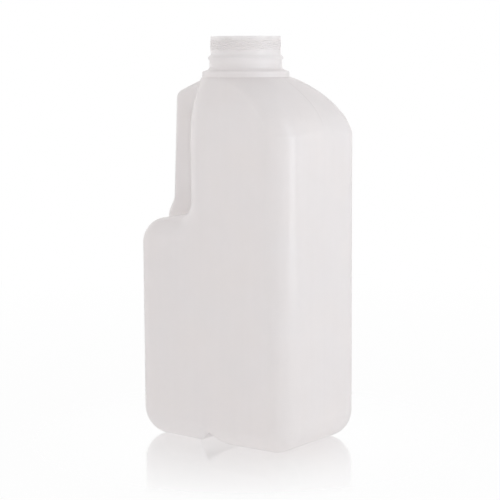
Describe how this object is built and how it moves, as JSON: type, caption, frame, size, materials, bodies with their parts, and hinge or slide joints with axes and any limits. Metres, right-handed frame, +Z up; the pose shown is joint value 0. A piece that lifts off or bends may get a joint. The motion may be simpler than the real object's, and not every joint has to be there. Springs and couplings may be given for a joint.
{
  "type": "plastic milk bottle",
  "caption": "Blow-moulded translucent plastic bottle for milk, with a moulded-in side handle, a rounded shoulder and an open screw neck.",
  "frame": {"origin": "middle of the foot, on the surface that the bottle stands on and on the axis of its neck", "axes": "+Z up along the neck's axis, X across the broad faces with the handle at -X, Y through the depth"},
  "size_m": [0.1004, 0.0684, 0.2123],
  "materials": {
    "bottle": "translucent natural polyethylene with a soft satin sheen"
  },
  "bodies": {
    "root": {"bottle": "bottle"}
  },
  "joints": []
}
